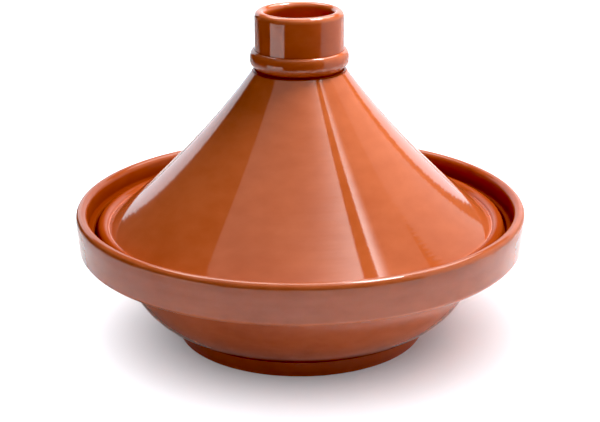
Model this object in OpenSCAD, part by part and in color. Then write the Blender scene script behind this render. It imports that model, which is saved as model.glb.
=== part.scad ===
// Glazed earthenware tagine: a footed dish with a gallery rim, and a cone lid with a cup knob.
// Millimetres, +Z up, origin at the middle of the foot's underside.
// Every piece is turned about Z from its own profile, drawn as [radius, height] points.

/* [Bowl] */
// Outer radius of the rounded wall's section
bowl_curve_r = 55.4; // [48:0.1:60]
// Height of the bowl's underside above the table
bowl_under_z = 8.6; // [6:0.1:10]
// Thickness of the bowl's wall and floor
bowl_wall = 8; // [6:0.5:10]

/* [Gallery rim] */
// Outer diameter over the lip
lip_d = 320; // [318:0.5:330]
// Thickness of the rounded lip
lip_t = 8; // [6:0.5:9]
// Thickness of the rim's upright wall
rim_wall_t = 8.6; // [7:0.1:10]
// Height of the dish to the top of the lip
dish_h = 96.5; // [94:0.5:104]
// Height of the flange's underside
flange_z = 67.3; // [65:0.1:69]
// Thickness of the flange that carries the lid
flange_t = 10.7; // [9:0.1:12]
// How far the band tapers in from the lip to its lower edge
band_taper = 1.2; // [0:0.1:3]
// How far the band's flat face steps in under the lip
band_step = 0.7; // [0:0.1:1.5]
// Height of the lip's outer face above the step
lip_face_h = 4; // [2:0.5:6]
// Rounding of the band's lower edge
band_edge_r = 3.6; // [1:0.1:4.5]
// Fillet between the bowl's wall and the flange's underside
flange_fillet_r = 8; // [3:0.5:9]
// Rounding where the well's wall turns out on to the ledge
well_edge_r = 8; // [3:0.5:9]

/* [Lid seat] */
// Width of the ledge, from the gallery's shoulder to the well's wall
ledge_w = 27.4; // [20:0.1:32]
// Radial play of the lid's rim in the gallery
lid_play = 1.9; // [0.8:0.1:3]
// Height of the shoulder above the ledge
shoulder_h = 5; // [4.2:0.1:6.5]
// Rounding of the shoulder
shoulder_r = 2.2; // [0.8:0.1:2.8]
// Cove between the shoulder and the rim's wall
cove_r = 1.8; // [0.5:0.1:2.5]
// Rounding at the foot of the shoulder
ledge_corner_r = 1; // [0.3:0.1:1.5]

/* [Foot] */
// How far the foot ring stands out past the edge of the flat floor
foot_out = 16.5; // [12:0.5:22]
// Width of the foot ring where it stands
foot_w = 11; // [7:0.5:14]
// How far the ring's faces lean in towards the bowl
foot_lean = 1; // [0:0.1:2]
// Rounding of the ring's lower edges
foot_edge_r = 1.2; // [0.4:0.1:2]

/* [Lid] */
// Thickness of the lid's rolled rim
lid_roll_d = 8.4; // [7:0.1:9.5]
// Where the cone meets the rolled rim, as an angle on the roll
lid_crease_a = 165; // [150:1:172]
// Thickness of the cone's wall
lid_wall = 7.5; // [6:0.5:9]
// Height of the crown, on which the knob stands
crown_z = 194.3; // [184:0.1:202]
// Radius of the crown
crown_r = 33.2; // [33:0.1:38]
// Thickness of the crown
crown_t = 9.5; // [7:0.5:12]
// Rounding of the crown's edge
crown_edge_r = 1.2; // [0.5:0.1:1.4]
// Lean of the cone's face just under the crown
cone_top_lean = 36; // [34:0.1:40]
// Rounding inside the lid, under the crown
crown_cove_r = 12; // [6:0.5:14]

/* [Knob cup] */
// Outer radius of the cup under its collar
cup_base_r = 31.3; // [30.5:0.1:31.7]
// Outer radius of the cup's rim
cup_rim_r = 31.1; // [29.5:0.1:33]
// Height of the whole object, to the cup's rim
total_h = 236; // [228:0.5:246]
// Thickness of the cup's rounded rim
cup_rim_t = 7.6; // [6.6:0.1:9]
// Thickness of the cup's wall under the rim
cup_wall = 6.3; // [5:0.1:6.6]
// Depth of the rim's inner swelling
cup_rim_h = 8; // [5:0.5:11]
// Thickness of the cup's floor
cup_floor_t = 8; // [6:0.5:12]
// Cove between the cup's floor and its wall
cup_cove_r = 7; // [3:0.5:10]
// Radius of the plinth under the collar
plinth_r = 31.9; // [31.7:0.1:32]
// Height of the plinth under the collar
plinth_h = 3.6; // [2.5:0.1:5]

/* [Knob collar] */
// How far the collar stands out from the cup
collar_out = 3.4; // [2.4:0.1:4.5]
// Height of the collar's widest line above the plinth
collar_low_h = 4; // [3:0.1:5]
// Height of the collar above its widest line
collar_up_h = 6.9; // [5:0.1:9]
// Fullness of the collar's section, where 2 is an ellipse
collar_full = 2.2; // [2:0.1:3]

/* [Hidden] */
$fn = 144;
QUARTER_STEPS = 8;    // chords in a small quarter round
WALL_STEPS = 20;      // chords in the bowl's wall
CONE_STEPS = 28;      // chords in the cone's sweep
SEAT_STEPS = 3;       // chords of the bowl's wall that rest on the foot ring
SHELF_W = 0.1;        // flat left between the shoulder and the cove
COLLAR_BASE = 0.88;   // share of the collar's lower half that is left above its cut base
GLAZE = "#B4532B";
GLAZE_LIGHT = "#C0663A";
BARE_CLAY = "#8A3E1E";

lip_r = lip_d / 2;
lip_c = [lip_r - lip_t / 2, dish_h - lip_t / 2];
rim_wall_r = lip_r - rim_wall_t;
gallery_r = rim_wall_r - cove_r - SHELF_W - shoulder_r;
ledge_z = flange_z + flange_t;
shoulder_z = ledge_z + shoulder_h;

well_r = gallery_r - ledge_w;
well_curve_r = bowl_curve_r - bowl_wall;
bowl_floor_r = well_r - well_curve_r;
bowl_c = [bowl_floor_r, bowl_under_z + bowl_curve_r];
foot_r = bowl_floor_r + foot_out;

lid_r = gallery_r - lid_play;
roll_r = lid_roll_d / 2;
roll_c = [lid_r - roll_r, ledge_z + roll_r];

crown_c = [crown_r - crown_edge_r, crown_z - crown_edge_r];
cone_top = on_circle(crown_c, crown_edge_r, cone_top_lean);
cone_foot = on_circle(roll_c, roll_r, lid_crease_a);
cone_chord = cone_foot - cone_top;
cone_chord_a = atan2(cone_chord.x, -cone_chord.y);
cone_half_sweep = cone_chord_a - cone_top_lean;
cone_sweep_r = norm(cone_chord) / 2 / sin(cone_half_sweep);
cone_c = cone_top + cone_sweep_r * [cos(cone_top_lean), sin(cone_top_lean)];
hollow_sweep_r = cone_sweep_r + lid_wall;
crown_under_z = crown_z - crown_t;
crown_cove_z = crown_under_z - crown_cove_r;
crown_cove_c = [left_of(cone_c, hollow_sweep_r + crown_cove_r, crown_cove_z), crown_cove_z];
crown_cove_a = toward(crown_cove_c, cone_c);
hollow_foot = [left_of(cone_c, hollow_sweep_r, ledge_z), ledge_z];

plinth_z = crown_z + plinth_h;
collar_z = plinth_z + collar_low_h;
cup_rim_c = [cup_rim_r - cup_rim_t / 2, total_h - cup_rim_t / 2];
cup_floor_z = crown_z + cup_floor_t;
cup_in_r = cup_base_r - cup_wall;

// Point on a circle at angle a
function on_circle(c, r, a) = c + r * [cos(a), sin(a)];

// Arc about c from angle a0 to angle a1, both ends included
function arc(c, r, a0, a1, steps = QUARTER_STEPS) =
    [for (i = [0:steps]) on_circle(c, r, a0 + (a1 - a0) * i / steps)];

// Direction from p to q
function toward(p, q) = atan2(q.y - p.y, q.x - p.x);

// Radius at which a circle's near side, towards the axis, reaches height z
function left_of(c, r, z) = c.x - sqrt(r * r - (z - c.y) * (z - c.y));

// Angle on the bowl's outer curve at radius r, below its centre
function bowl_angle(r) = -acos((r - bowl_floor_r) / bowl_curve_r);

// The stretch of the bowl's underside on which the foot ring is luted
function foot_seat() =
    arc(bowl_c, bowl_curve_r, bowl_angle(foot_r - foot_w + foot_lean),
        bowl_angle(foot_r - foot_lean), SEAT_STEPS);

// Turns a list of [radius, height] points into a solid
module turned(profile) {
    rotate_extrude() polygon(profile);
}

// Outside of the bowl, from the axis up to the flange
function bowl_outside() =
    let (fillet_z = flange_z - flange_fillet_r,
         reach = bowl_curve_r + flange_fillet_r,
         fillet_c = [bowl_c.x + sqrt(reach * reach - pow(fillet_z - bowl_c.y, 2)), fillet_z],
         wall_end_a = toward(bowl_c, fillet_c),
         seat_end_a = bowl_angle(foot_r - foot_lean),
         seat_start_a = bowl_angle(foot_r - foot_w + foot_lean))
    concat([[0, bowl_c.y - bowl_curve_r]],
           arc(bowl_c, bowl_curve_r, -90, seat_start_a, 1),
           foot_seat(),
           arc(bowl_c, bowl_curve_r, seat_end_a, wall_end_a, WALL_STEPS),
           arc(fillet_c, flange_fillet_r, wall_end_a + 180, 90));

// Outside of the rim: rounded lower edge, tapering band, eased step, then the lip
function rim_outside() =
    let (low_r = lip_r - band_taper,
         step_z = lip_c.y - lip_face_h,
         face_r = lip_r - band_step,
         ease_h = lip_face_h)
    concat(arc([low_r - band_edge_r, flange_z + band_edge_r], band_edge_r, -90, 0),
           [for (i = [0:QUARTER_STEPS])
               let (t = i / QUARTER_STEPS, s = t * t * (3 - 2 * t))
               [face_r + band_step * s, step_z - ease_h * (1 - t)]],
           arc(lip_c, lip_t / 2, 0, 180, 2 * QUARTER_STEPS));

// Inside of the rim: wall, cove, rounded shoulder, then the ledge that carries the lid
function gallery() =
    concat(arc([rim_wall_r - cove_r, shoulder_z + cove_r], cove_r, 0, -90),
           arc([gallery_r + shoulder_r, shoulder_z - shoulder_r], shoulder_r, 90, 180),
           arc([gallery_r - ledge_corner_r, ledge_z + ledge_corner_r], ledge_corner_r, 0, -90));

// Inside of the bowl, from the ledge down to the axis
function well() =
    concat(arc([well_r + well_edge_r, ledge_z - well_edge_r], well_edge_r, 90, 180),
           arc(bowl_c, well_curve_r, 0, -90, WALL_STEPS),
           [[0, bowl_c.y - well_curve_r]]);

// Bowl, flange and gallery rim, thrown in one piece
module dish() {
    color(GLAZE) turned(concat(bowl_outside(), rim_outside(), gallery(), well()));
}

// Foot ring, a coil luted under the bowl and turned true; its top follows the bowl's curve
module foot_ring() {
    seat = foot_seat();
    in_r = foot_r - foot_w;
    color(BARE_CLAY) turned(concat(
        arc([in_r + foot_edge_r, foot_edge_r], foot_edge_r, 180, 270),
        arc([foot_r - foot_edge_r, foot_edge_r], foot_edge_r, -90, 0),
        [for (i = [len(seat) - 1:-1:0]) seat[i]]));
}

// Swept cone with its crown and its rolled rim, hollow inside; the roll's flat rests on the ledge
module lid_cone() {
    color(GLAZE_LIGHT) turned(concat(
        [[0, crown_z]],
        arc(crown_c, crown_edge_r, 90, cone_top_lean),
        [for (i = [1:CONE_STEPS - 1])
            on_circle(cone_c, cone_sweep_r,
                      cone_top_lean + 180 + 2 * cone_half_sweep * i / CONE_STEPS)],
        arc(roll_c, roll_r, lid_crease_a, -90, 3 * QUARTER_STEPS),
        arc(cone_c, hollow_sweep_r, toward(cone_c, hollow_foot),
            toward(cone_c, crown_cove_c), CONE_STEPS),
        arc(crown_cove_c, crown_cove_r, crown_cove_a, 90),
        [[0, crown_under_z]]));
}

// Open cup on a low plinth, luted on the crown
module knob_cup() {
    color(GLAZE_LIGHT) turned(concat(
        [[0, crown_z], [plinth_r, crown_z], [plinth_r, plinth_z], [cup_base_r, plinth_z],
         [cup_base_r, collar_z + collar_up_h]],
        arc(cup_rim_c, cup_rim_t / 2, 0, 180, 2 * QUARTER_STEPS),
        [for (i = [1:QUARTER_STEPS])
            let (t = i / QUARTER_STEPS, s = t * t * (3 - 2 * t), from_r = cup_rim_r - cup_rim_t)
            [from_r + (cup_in_r - from_r) * s, cup_rim_c.y - cup_rim_h * t]],
        arc([cup_in_r - cup_cove_r, cup_floor_z + cup_cove_r], cup_cove_r, 0, -90),
        [[0, cup_floor_z]]));
}

// Radius of the collar at height z
function collar_radius(z) =
    let (half_h = z < collar_z ? collar_low_h / COLLAR_BASE : collar_up_h,
         share = min(1, abs(z - collar_z) / half_h))
    cup_base_r + collar_out * pow(1 - pow(share, collar_full), 1 / collar_full);

// Fat coil pressed round the joint between the cup and its plinth
module knob_collar() {
    low_a = -90;
    color(GLAZE_LIGHT) turned(concat(
        [[cup_base_r, plinth_z]],
        [for (i = [0:2 * QUARTER_STEPS])
            let (a = low_a + 180 * i / (2 * QUARTER_STEPS),
                 z = collar_z + sin(a) * (a < 0 ? collar_low_h : collar_up_h))
            [collar_radius(z), z]]));
}

dish();
foot_ring();
lid_cone();
knob_cup();
knob_collar();
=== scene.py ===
"""Glazed earthenware tagine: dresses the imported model, lights it and places the camera.

Every piece is turned about Z from its own profile, as on the wheel, then gets the slight
relief that throwing leaves in the clay. A piece's sizes are millimetres and become metres
when its mesh is made. The studio's sizes are metres.
"""
import logging
import math
from collections.abc import Sequence
from dataclasses import dataclass, field
from enum import Enum

import bmesh
import bpy
import numpy as np
from mathutils import Matrix, Vector

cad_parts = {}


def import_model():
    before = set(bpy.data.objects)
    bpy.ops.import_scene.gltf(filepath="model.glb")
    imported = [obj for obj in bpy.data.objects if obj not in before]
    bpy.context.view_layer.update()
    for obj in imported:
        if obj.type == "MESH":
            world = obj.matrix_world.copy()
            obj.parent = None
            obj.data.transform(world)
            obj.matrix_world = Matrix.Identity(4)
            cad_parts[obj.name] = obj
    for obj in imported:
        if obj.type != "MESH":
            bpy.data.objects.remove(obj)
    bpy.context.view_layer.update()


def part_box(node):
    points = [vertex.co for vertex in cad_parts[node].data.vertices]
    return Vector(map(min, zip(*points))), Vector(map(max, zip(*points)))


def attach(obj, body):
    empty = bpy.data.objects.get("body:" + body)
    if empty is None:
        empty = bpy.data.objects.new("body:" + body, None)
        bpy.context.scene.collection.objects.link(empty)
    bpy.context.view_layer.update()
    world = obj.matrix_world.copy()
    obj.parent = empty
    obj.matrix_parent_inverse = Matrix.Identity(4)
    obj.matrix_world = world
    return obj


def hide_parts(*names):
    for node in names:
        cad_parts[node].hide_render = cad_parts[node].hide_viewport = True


Point = tuple[float, float]
Place = tuple[float, float, float]
Colour = tuple[float, float, float]
Span = tuple[float, float]
Source = bpy.types.NodeSocket | float | Colour

MM = 0.001
FULL_TURN = 2 * math.pi
WHITE: Colour = (1.0, 1.0, 1.0)

log = logging.getLogger("tagine")


class Body(Enum):
    """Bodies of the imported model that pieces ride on."""

    BASE = "base"
    LID = "lid"


class Trace(Enum):
    """Values that a turned mesh carries at each vertex."""

    ALONG = "along"
    THIN = "glaze_thin"
    # one trace for where the glaze pools in hollows and for the painted shade
    POOL_AND_SHADE = "glaze_pool"


# ---------------------------------------------------------------- profiles


def polar(centre: Point, radius: float, degrees: float) -> Point:
    """Point on a circle in the profile's plane, at an angle from outwards that turns up."""
    angle = math.radians(degrees)
    return centre[0] + radius * math.cos(angle), centre[1] + radius * math.sin(angle)


def bearing(start: Point, end: Point) -> float:
    """Direction from start to end, in degrees."""
    return math.degrees(math.atan2(end[1] - start[1], end[0] - start[0]))


def between(start: Point, end: Point, share: float) -> Point:
    """Point a share of the way from start to end."""
    return start[0] + (end[0] - start[0]) * share, start[1] + (end[1] - start[1]) * share


def near_side(centre: Point, radius: float, height: float) -> Point:
    """Point at a height on the side of a circle that faces the axis."""
    return centre[0] - math.sqrt(radius ** 2 - (height - centre[1]) ** 2), height


@dataclass
class Profile:
    """Outline of a piece's section, drawn from the axis round the outside and back.

    Attributes:
        step: Longest distance between neighbouring points.
        same: Distance under which two points are one.
        arc_chords: Fewest chords in an arc.
        swerve_chords: Number of chords in an S-shaped stretch.
        points: Points so far, as (radius, height).
    """

    step: float = 0.8
    same: float = 1e-4
    arc_chords: int = 5
    swerve_chords: int = 12
    points: list[Point] = field(default_factory=list)

    def add(self, point: Point) -> None:
        """Adds a point unless it repeats the last one."""
        if not self.points or math.dist(point, self.points[-1]) > self.same:
            self.points.append(point)

    def line(self, point: Point, step: float | None = None) -> None:
        """Draws a straight stretch to a point.

        Args:
            point: End of the stretch.
            step: Spacing on this stretch, where it differs from the profile's.
        """
        start = self.points[-1] if self.points else point
        count = max(1, math.ceil(math.dist(start, point) / (step or self.step)))
        for i in range(1, count + 1):
            self.add(between(start, point, i / count))

    def arc(self, centre: Point, radius: float, start: float, end: float,
            step: float | None = None) -> None:
        """Draws an arc, joined to the last point by a straight stretch.

        Args:
            centre: Arc's centre.
            radius: Arc's radius.
            start: First angle in degrees.
            end: Last angle in degrees.
            step: Spacing on this arc, where it differs from the profile's.
        """
        self.line(polar(centre, radius, start), step)
        length = abs(radius * math.radians(end - start))
        count = max(self.arc_chords, math.ceil(length / (step or self.step)))
        for i in range(1, count + 1):
            self.add(polar(centre, radius, start + (end - start) * i / count))

    def swerve(self, end: Point) -> None:
        """Draws an S-shaped stretch to a point, upright at both ends.

        Args:
            end: End of the stretch.
        """
        start = self.points[-1]
        for i in range(1, self.swerve_chords + 1):
            share = i / self.swerve_chords
            eased = share * share * (3 - 2 * share)
            self.add((between(start, end, eased)[0], between(start, end, share)[1]))


# ---------------------------------------------------------------- scene helpers


def new_object(name: str, data: bpy.types.ID) -> bpy.types.Object:
    """Makes an object and links it into the scene.

    Args:
        name: Object's name.
        data: Its mesh, light or camera.

    Returns:
        The new object.
    """
    made = bpy.data.objects.new(name, data)
    bpy.context.scene.collection.objects.link(made)
    return made


@dataclass(frozen=True)
class Mottle:
    """A cloudy pattern that runs through the whole piece.

    Attributes:
        scale: Its fineness.
        detail: Number of finer layers.
        stretch: Further fineness along each axis.
    """

    scale: float
    detail: float = 2.0
    stretch: Place = (1, 1, 1)


class Nodes:
    """Shorthand for building a node tree."""

    def __init__(self, tree: bpy.types.NodeTree) -> None:
        """Keeps the tree and clears it."""
        self.tree = tree
        tree.nodes.clear()

    def add(self, kind: str, **values: object) -> bpy.types.Node:
        """Adds a node.

        Args:
            kind: Blender's name of the node's type.
            values: Node properties by name.

        Returns:
            The new node.
        """
        node = self.tree.nodes.new(kind)
        for key, value in values.items():
            setattr(node, key, value)
        return node

    def feed(self, socket: bpy.types.NodeSocket, value: Source) -> None:
        """Links an input to another node's output, or sets it.

        Args:
            socket: Input to feed.
            value: Output of another node, a number, a vector or a colour.
        """
        if isinstance(value, bpy.types.NodeSocket):
            self.tree.links.new(value, socket)
        elif socket.type == "RGBA":
            socket.default_value = (*value, 1.0)
        else:
            socket.default_value = value

    def feed_all(self, node: bpy.types.Node, values: dict[str, Source]) -> None:
        """Feeds several inputs of a node by name."""
        for name, value in values.items():
            self.feed(node.inputs[name], value)

    def show(self, shader: bpy.types.Node, kind: str = "ShaderNodeOutputMaterial") -> None:
        """Sends a shader node to the tree's output."""
        self.feed(self.add(kind).inputs["Surface"], shader.outputs[0])

    def attribute(self, trace: Trace) -> bpy.types.NodeSocket:
        """Adds an Attribute node and returns the trace's value."""
        return self.add("ShaderNodeAttribute", attribute_name=trace.value).outputs["Fac"]

    def place(self) -> bpy.types.NodeSocket:
        """Adds a Texture Coordinate node and returns the place on the object."""
        return self.add("ShaderNodeTexCoord").outputs["Object"]

    def calc(self, operation: str, first: Source, second: Source = 0.0) -> bpy.types.NodeSocket:
        """Adds a Math node.

        Args:
            operation: Blender's name of the operation.
            first: First value.
            second: Second value, which operations on one value leave unread.

        Returns:
            The node's result.
        """
        node = self.add("ShaderNodeMath", operation=operation)
        self.feed(node.inputs[0], first)
        self.feed(node.inputs[1], second)
        return node.outputs[0]

    def ramp(self, value: Source, start: float, end: float, low: float = 0.0,
             high: float = 1.0) -> bpy.types.NodeSocket:
        """Adds a smooth Map Range node.

        Args:
            value: Value to map.
            start: Value that becomes low.
            end: Value that becomes high.
            low: Result at the start.
            high: Result at the end.

        Returns:
            The node's result.
        """
        node = self.add("ShaderNodeMapRange", interpolation_type="SMOOTHSTEP")
        self.feed_all(node, {"Value": value, "From Min": start, "From Max": end,
                             "To Min": low, "To Max": high})
        return node.outputs["Result"]

    def stretched(self, vector: Source, scale: Place) -> bpy.types.NodeSocket:
        """Adds a Mapping node that scales a place along the axes.

        Args:
            vector: Place to scale.
            scale: Scale along each axis.

        Returns:
            The scaled place.
        """
        node = self.add("ShaderNodeMapping")
        self.feed_all(node, {"Vector": vector, "Scale": scale})
        return node.outputs["Vector"]

    def mottled(self, vector: Source, mottle: Mottle) -> bpy.types.NodeSocket:
        """Adds a noise.

        Args:
            vector: Place that it is read at.
            mottle: The pattern.

        Returns:
            The noise's value.
        """
        node = self.add("ShaderNodeTexNoise")
        self.feed_all(node, {"Vector": self.stretched(vector, mottle.stretch),
                             "Scale": mottle.scale, "Detail": mottle.detail})
        return node.outputs["Fac"]

    def mix(self, factor: Source, first: Source, second: Source) -> bpy.types.NodeSocket:
        """Adds a colour Mix node.

        Args:
            factor: Share of the second colour.
            first: First colour.
            second: Second colour.

        Returns:
            The mixed colour.
        """
        node = self.add("ShaderNodeMix", data_type="RGBA")
        colours = [socket for socket in node.inputs if socket.type == "RGBA"]
        self.feed(node.inputs["Factor"], factor)
        self.feed(colours[0], first)
        self.feed(colours[1], second)
        return next(socket for socket in node.outputs if socket.type == "RGBA")


def new_material(name: str) -> tuple[bpy.types.Material, Nodes]:
    """Starts a material with an empty node tree.

    Args:
        name: Material's name.

    Returns:
        The material and its tree's helper.
    """
    material = bpy.data.materials.new(name)
    material.use_nodes = True
    return material, Nodes(material.node_tree)


def new_group(name: str, inputs: dict[str, float],
              outputs: tuple[str, ...]) -> tuple[Nodes, bpy.types.Node, bpy.types.Node]:
    """Starts a shader node group of values.

    Args:
        name: Group's name.
        inputs: Float inputs with their defaults.
        outputs: Names of the float outputs.

    Returns:
        The tree's helper, the group's input node and its output node.
    """
    tree = bpy.data.node_groups.new(name, "ShaderNodeTree")
    for label, default in inputs.items():
        socket = tree.interface.new_socket(label, in_out="INPUT", socket_type="NodeSocketFloat")
        socket.default_value = default
    for label in outputs:
        tree.interface.new_socket(label, in_out="OUTPUT", socket_type="NodeSocketFloat")
    nodes = Nodes(tree)
    return nodes, nodes.add("NodeGroupInput"), nodes.add("NodeGroupOutput")


# ---------------------------------------------------------------- glazes


@dataclass(frozen=True)
class ThrowingLines:
    """Fine lines that the throwing rib leaves round the wall, under the glaze.

    Attributes:
        sway: How far the lines wander up and down, in metres.
        wander: Where they wander.
        coarse_rate: Number of coarser lines for each fine one.
        coarse_share: Height of the coarser lines against the fine ones.
        patches: Where the lines show.
        patch_reach: Values of the patches at which the lines start to show and show fully.
        grain: Grain between the lines, drawn out round the pot.
        grain_share: Height of the grain against the lines.
    """

    sway: float = 0.004
    wander: Mottle = Mottle(14.0)
    coarse_rate: float = 0.37
    coarse_share: float = 0.7
    patches: Mottle = Mottle(30.0, 3.0, (1, 1, 3))
    patch_reach: Span = (0.35, 0.65)
    grain: Mottle = Mottle(260.0, 2.0, (0.35, 0.35, 3.0))
    grain_share: float = 0.9

    def group(self) -> bpy.types.NodeTree:
        """Makes the node group.

        Returns:
            A group with inputs Pitch and Broken and outputs Height and Tone.
        """
        nodes, entry, result = new_group("throwing_lines", {"Pitch": 0.8, "Broken": 0.5},
                                         ("Height", "Tone"))
        place = nodes.place()
        split = nodes.add("ShaderNodeSeparateXYZ")
        nodes.feed(split.inputs[0], place)
        sway = nodes.calc("MULTIPLY", nodes.mottled(place, self.wander), self.sway)
        climb = nodes.calc("ADD", split.outputs["Z"], sway)
        turns = nodes.calc("MULTIPLY", climb, FULL_TURN / MM)
        phase = nodes.calc("DIVIDE", turns, entry.outputs["Pitch"])
        coarse = nodes.calc("SINE", nodes.calc("MULTIPLY", phase, self.coarse_rate))
        both = nodes.calc("ADD", nodes.calc("SINE", phase),
                          nodes.calc("MULTIPLY", coarse, self.coarse_share))
        patches = nodes.ramp(nodes.mottled(place, self.patches), *self.patch_reach)
        shown = nodes.calc("MULTIPLY", patches, entry.outputs["Broken"])
        grain = nodes.mottled(place, self.grain)
        height = nodes.calc("ADD", nodes.calc("MULTIPLY", both, shown),
                            nodes.calc("MULTIPLY", grain, self.grain_share))
        nodes.feed_all(result, {"Height": height, "Tone": patches})
        return nodes.tree


@dataclass(frozen=True)
class GlazeDepth:
    """Where the glaze lies thin over edges, pools in hollows and drifts over the wall, and where
    shade is painted.

    Attributes:
        cloud: The slow drift.
        fine: The quick drift, which breaks up the thin edges too.
        fine_share: Share of the quick drift in the whole.
        edge_reach: Values of the quick drift at which an edge is least and most thin.
        edge_least: How much of its thinness an edge keeps where it is least.
        speck_scale: Fineness of the cells that may hold a speck.
        speck_reach: Distances from a cell's middle at which a speck ends and is full.
        chosen: What chooses the cells that hold a speck.
        chosen_reach: Values of it at which a speck starts and is full.
    """

    cloud: Mottle = Mottle(9.0, 4.0, (1, 1, 1.6))
    fine: Mottle = Mottle(70.0, 3.0, (1, 1, 2.0))
    fine_share: float = 0.3
    edge_reach: Span = (0.25, 0.6)
    edge_least: float = 0.6
    speck_scale: float = 95.0
    speck_reach: Span = (0.07, 0.04)
    chosen: Mottle = Mottle(24.0, 1.0)
    chosen_reach: Span = (0.66, 0.72)

    def group(self) -> bpy.types.NodeTree:
        """Makes the node group.

        Returns:
            A group with input Patchiness and outputs Thin, PoolAndShade, Drift and Speck.
            PoolAndShade holds where the glaze pools and where shade is painted.
        """
        nodes, entry, result = new_group("glaze_depth", {"Patchiness": 1.0},
                                         ("Thin", "PoolAndShade", "Drift", "Speck"))
        place = nodes.place()
        cloud, fine = nodes.mottled(place, self.cloud), nodes.mottled(place, self.fine)
        drift = nodes.calc("ADD", nodes.calc("MULTIPLY", cloud, 1 - self.fine_share),
                           nodes.calc("MULTIPLY", fine, self.fine_share))
        spread = nodes.calc("MULTIPLY", nodes.calc("SUBTRACT", drift, 0.5),
                            entry.outputs["Patchiness"])
        dots = nodes.add("ShaderNodeTexVoronoi")
        nodes.feed_all(dots, {"Vector": place, "Scale": self.speck_scale})
        chosen = nodes.ramp(nodes.mottled(place, self.chosen), *self.chosen_reach)
        nodes.feed_all(result, {
            "Thin": nodes.calc("MULTIPLY", nodes.attribute(Trace.THIN),
                               nodes.ramp(fine, *self.edge_reach, low=self.edge_least)),
            "PoolAndShade": nodes.attribute(Trace.POOL_AND_SHADE),
            "Drift": nodes.calc("ADD", spread, 0.5),
            "Speck": nodes.calc("MULTIPLY", chosen,
                                nodes.ramp(dots.outputs["Distance"], *self.speck_reach)),
        })
        return nodes.tree


@dataclass(frozen=True)
class Effects:
    """The node groups that all glazes share, built once.

    Attributes:
        lines: The throwing lines group.
        depth: The glaze depth group.
    """

    lines: bpy.types.NodeTree
    depth: bpy.types.NodeTree


@dataclass(frozen=True)
class Glaze:
    """A glossy transparent glaze over red clay, as a coat over a matt base.

    Attributes:
        name: Name of the material.
        body: Usual colour of the glazed clay.
        light: Colour where the glaze lies thin or the clay is lighter.
        deep_and_shade: Colour where the glaze pools and where shade is painted, and the dark end of
            the drift.
        speck: Colour of the specks.
        roughness: Roughness of the glaze's surface.
        ior: Refraction of the glaze.
        line_pitch: Distance between throwing lines, in millimetres.
        line_depth: Depth of the throwing lines, in metres.
        drift_reach: Values of the drift that give the deep and the light colour.
        drift_share: How far the colour drifts between them.
        thin_share: How far thin glaze turns to the light colour.
        pool_and_shade_share: How far the glaze that pools and the painted shade turn to the
            deep_and_shade colour.
        speck_share: How far a speck hides the glaze.
        pool_and_shade_dull: How much of the gloss is lost where the glaze pools and where shade is
            painted.
        line_dull: How much of the gloss is lost where the throwing lines show.
    """

    name: str
    body: Colour
    light: Colour
    deep_and_shade: Colour
    speck: Colour = (0.03, 0.008, 0.004)
    roughness: float = 0.06
    ior: float = 1.6
    line_pitch: float = 1.7
    line_depth: float = 0.000005
    drift_reach: Span = (0.3, 0.7)
    drift_share: float = 0.28
    thin_share: float = 0.45
    pool_and_shade_share: float = 0.85
    speck_share: float = 0.8
    pool_and_shade_dull: float = 1.0
    line_dull: float = 0.06

    def material(self, effects: Effects) -> bpy.types.Material:
        """Makes the material.

        Args:
            effects: The shared node groups.

        Returns:
            The finished material.
        """
        material, nodes = new_material(self.name)
        shader = nodes.add("ShaderNodeBsdfPrincipled")
        line = nodes.add("ShaderNodeGroup", node_tree=effects.lines)
        run = nodes.add("ShaderNodeGroup", node_tree=effects.depth)
        bump = nodes.add("ShaderNodeBump")
        nodes.feed(line.inputs["Pitch"], self.line_pitch)
        nodes.feed_all(bump, {"Strength": 1.0, "Distance": self.line_depth,
                              "Height": line.outputs["Height"]})
        nodes.feed_all(shader, {
            "Base Color": self._colour(nodes, run.outputs),
            "Coat Weight": self._gloss(nodes, run.outputs["PoolAndShade"], line.outputs["Tone"]),
            "Coat Roughness": self.roughness,
            "Coat IOR": self.ior,
            "Specular IOR Level": 0.0,
            "Normal": bump.outputs["Normal"],
        })
        nodes.show(shader)
        return material

    def _colour(self, nodes: Nodes,
                run: bpy.types.bpy_prop_collection) -> bpy.types.NodeSocket:
        """Colour of the glaze over the clay.

        Args:
            nodes: The material's tree.
            run: Outputs of the glaze depth group.

        Returns:
            The colour's socket.
        """
        tone = nodes.mix(nodes.ramp(run["Drift"], *self.drift_reach), self.deep_and_shade, self.light)
        drifted = nodes.mix(self.drift_share, self.body, tone)
        thin = nodes.calc("MULTIPLY", run["Thin"], self.thin_share)
        # the trace holds where the glaze pools and where shade is painted; both darken the colour
        # here
        pool_and_shade = nodes.calc("MULTIPLY", run["PoolAndShade"], self.pool_and_shade_share)
        speck = nodes.calc("MULTIPLY", run["Speck"], self.speck_share)
        pooled_and_shaded = nodes.mix(pool_and_shade, nodes.mix(thin, drifted, self.light), self.deep_and_shade)
        return nodes.mix(speck, pooled_and_shaded, self.speck)

    def _gloss(self, nodes: Nodes, pool_and_shade: Source, tone: Source) -> bpy.types.NodeSocket:
        """Weight of the glossy coat.

        Args:
            nodes: The material's tree.
            pool_and_shade: Where the glaze pools and where shade is painted.
            tone: Where the throwing lines show.

        Returns:
            The weight's socket.
        """
        dulled = nodes.calc("ADD", nodes.calc("MULTIPLY", pool_and_shade, self.pool_and_shade_dull),
                            nodes.calc("MULTIPLY", tone, self.line_dull))
        return nodes.calc("MAXIMUM", nodes.calc("SUBTRACT", 1.0, dulled), 0.0)


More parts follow.
